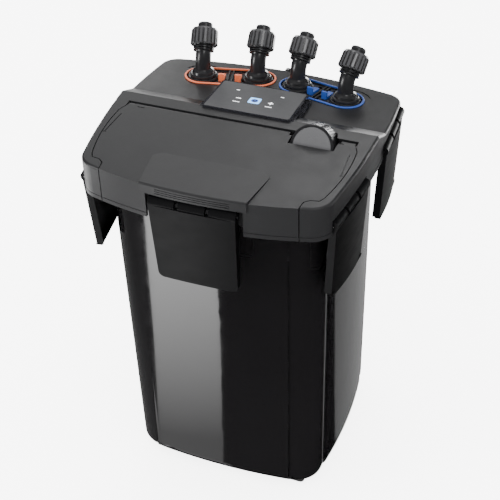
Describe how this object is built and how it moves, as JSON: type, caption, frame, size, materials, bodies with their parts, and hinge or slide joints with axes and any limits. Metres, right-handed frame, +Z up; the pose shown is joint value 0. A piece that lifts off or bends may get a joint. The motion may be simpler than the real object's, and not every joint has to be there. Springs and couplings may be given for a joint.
{
  "type": "canister filter",
  "caption": "Tall canister filter with swing latches, a hinged service cover, a prefilter knob, a control panel and angled hose unions.",
  "frame": {"origin": "on the floor under the middle of the head", "axes": "+Z up, front face with the single latch towards -Y, hose unions at the back towards +Y"},
  "size_m": [0.321, 0.3152, 0.5134],
  "materials": {
    "canister_black": "high gloss moulded",
    "head_grey": "fine satin texture",
    "latch_black": "satin",
    "fitting_black": "satin",
    "console_black": "gloss",
    "console_grey": "fine matte",
    "knob_disc": "fine turned rings, satin",
    "key_blue": "lit film",
    "symbol_blue": "printed",
    "legend_white": "printed",
    "outlet_orange": "satin",
    "inlet_blue": "satin",
    "rubber_black": "matt",
    "pin_steel": "ground",
    "core_steel": "laminated, plain",
    "copper": "enamelled winding",
    "magnet": "ferrite",
    "impeller_grey": "moulded",
    "ceramic_white": "fired ceramic",
    "basket_grey": "moulded",
    "foam_blue": "open cell foam",
    "foam_black": "open cell foam",
    "ceramic_media": "porous fired rings",
    "bio_media": "porous sintered balls"
  },
  "bodies": {
    "filter": {"canister_body": "canister_black", "feet": "rubber_black", "head_seal": "rubber_black", "head_housing": "head_grey", "cord_inlet": "fitting_black", "cover_hinge_pins": "pin_steel", "latch_hinge_pins": "pin_steel", "control_panel_housing": "console_black", "control_panel_face": "console_grey", "power_key": "key_blue", "power_symbol": "symbol_blue", "panel_legends": "legend_white", "outlet_ring": "outlet_orange", "inlet_ring": "inlet_blue", "outlet_port_plate": "fitting_black", "inlet_port_plate": "fitting_black", "port_o_rings": "rubber_black", "prefilter_basket": "basket_grey", "prefilter_foam": "foam_black", "motor_can": "fitting_black", "stator_core": "core_steel", "stator_coils": "copper", "impeller_shaft": "ceramic_white", "shaft_bushes": "rubber_black", "pump_cover": "fitting_black", "feed_pipe": "basket_grey", "media_basket_1": "basket_grey", "media_basket_2": "basket_grey", "media_basket_3": "basket_grey", "media_basket_4": "basket_grey", "coarse_foam": "foam_blue", "fine_foam": "foam_black", "ceramic_media": "ceramic_media", "bio_media": "bio_media"},
    "cover": {"service_cover": "head_grey"},
    "knob": {"prefilter_knob": "fitting_black", "knob_face": "knob_disc"},
    "latch_front": {"latch_front": "latch_black"},
    "latch_left_front": {"latch_left_front": "latch_black"},
    "latch_left_rear": {"latch_left_rear": "latch_black"},
    "latch_right_front": {"latch_right_front": "latch_black"},
    "latch_right_rear": {"latch_right_rear": "latch_black"},
    "outlet_lock_1": {"outlet_lock_1": "outlet_orange"},
    "outlet_lock_2": {"outlet_lock_2": "outlet_orange"},
    "inlet_lock_1": {"inlet_lock_1": "inlet_blue"},
    "inlet_lock_2": {"inlet_lock_2": "inlet_blue"},
    "elbow_1": {"hose_elbow_1": "fitting_black"},
    "nut_1": {"hose_nut_1": "fitting_black"},
    "elbow_2": {"hose_elbow_2": "fitting_black"},
    "nut_2": {"hose_nut_2": "fitting_black"},
    "elbow_3": {"hose_elbow_3": "fitting_black"},
    "nut_3": {"hose_nut_3": "fitting_black"},
    "elbow_4": {"hose_elbow_4": "fitting_black"},
    "nut_4": {"hose_nut_4": "fitting_black"},
    "rotor": {"rotor_magnet": "magnet", "impeller": "impeller_grey"}
  },
  "joints": [
    {"name": "cover_lift", "type": "hinge", "parent": "filter", "child": "cover", "pos_m": [0, -0.011, 0.4695], "axis": [-1, 0, 0], "range_deg": [0, 45]},
    {"name": "knob_turn", "type": "hinge", "parent": "filter", "child": "knob", "pos_m": [0.0893, -0.0265, 0.4715], "axis": [0, -0.8829, 0.4695], "range_deg": [0, 90]},
    {"name": "latch_front_swing", "type": "hinge", "parent": "filter", "child": "latch_front", "pos_m": [0, -0.15, 0.4555], "axis": [-1, 0, 0], "range_deg": [0, 95]},
    {"name": "latch_left_front_swing", "type": "hinge", "parent": "filter", "child": "latch_left_front", "pos_m": [-0.14677, -0.07376, 0.4415], "axis": [-0.1192, 0.9929, 0], "range_deg": [0, 95]},
    {"name": "latch_left_rear_swing", "type": "hinge", "parent": "filter", "child": "latch_left_rear", "pos_m": [-0.15192, 0.0739, 0.4415], "axis": [0.0496, 0.9988, 0], "range_deg": [0, 95]},
    {"name": "latch_right_front_swing", "type": "hinge", "parent": "filter", "child": "latch_right_front", "pos_m": [0.14677, -0.07376, 0.4415], "axis": [-0.1192, -0.9929, 0], "range_deg": [0, 95]},
    {"name": "latch_right_rear_swing", "type": "hinge", "parent": "filter", "child": "latch_right_rear", "pos_m": [0.15192, 0.0739, 0.4415], "axis": [0.0496, -0.9988, 0], "range_deg": [0, 95]},
    {"name": "outlet_lock_1_slide", "type": "slide", "parent": "filter", "child": "outlet_lock_1", "axis": [-0.245, 0.9633, -0.1098], "range_m": [0, 0.005]},
    {"name": "outlet_lock_2_slide", "type": "slide", "parent": "filter", "child": "outlet_lock_2", "axis": [-0.245, 0.9633, -0.1098], "range_m": [0, 0.005]},
    {"name": "inlet_lock_1_slide", "type": "slide", "parent": "filter", "child": "inlet_lock_1", "axis": [0.245, 0.9633, -0.1098], "range_m": [0, 0.005]},
    {"name": "inlet_lock_2_slide", "type": "slide", "parent": "filter", "child": "inlet_lock_2", "axis": [0.245, 0.9633, -0.1098], "range_m": [0, 0.005]},
    {"name": "elbow_1_swivel", "type": "hinge", "parent": "filter", "child": "elbow_1", "pos_m": [-0.089, 0.10001, 0.45405], "axis": [0, 0.1132, 0.9936], "range_deg": [-90, 90]},
    {"name": "nut_1_spin", "type": "hinge", "parent": "elbow_1", "child": "nut_1", "pos_m": [-0.08999, 0.10696, 0.48253], "axis": [-0.1593, 0.6801, 0.7156], "continuous": true},
    {"name": "elbow_2_swivel", "type": "hinge", "parent": "filter", "child": "elbow_2", "pos_m": [-0.0253, 0.116, 0.45223], "axis": [0, 0.1132, 0.9936], "range_deg": [-90, 90]},
    {"name": "nut_2_spin", "type": "hinge", "parent": "elbow_2", "child": "nut_2", "pos_m": [-0.02563, 0.12307, 0.48069], "axis": [-0.0537, 0.6986, 0.7135], "continuous": true},
    {"name": "elbow_3_swivel", "type": "hinge", "parent": "filter", "child": "elbow_3", "pos_m": [0.0253, 0.116, 0.45223], "axis": [0, 0.1132, 0.9936], "range_deg": [-90, 90]},
    {"name": "nut_3_spin", "type": "hinge", "parent": "elbow_3", "child": "nut_3", "pos_m": [0.02563, 0.12307, 0.48069], "axis": [0.0537, 0.6986, 0.7135], "continuous": true},
    {"name": "elbow_4_swivel", "type": "hinge", "parent": "filter", "child": "elbow_4", "pos_m": [0.089, 0.10001, 0.45405], "axis": [0, 0.1132, 0.9936], "range_deg": [-90, 90]},
    {"name": "nut_4_spin", "type": "hinge", "parent": "elbow_4", "child": "nut_4", "pos_m": [0.08999, 0.10696, 0.48253], "axis": [0.1593, 0.6801, 0.7156], "continuous": true},
    {"name": "impeller_spin", "type": "hinge", "parent": "filter", "child": "rotor", "pos_m": [0, 0.062, 0.414], "axis": [0, 0, 1], "continuous": true}
  ]
}
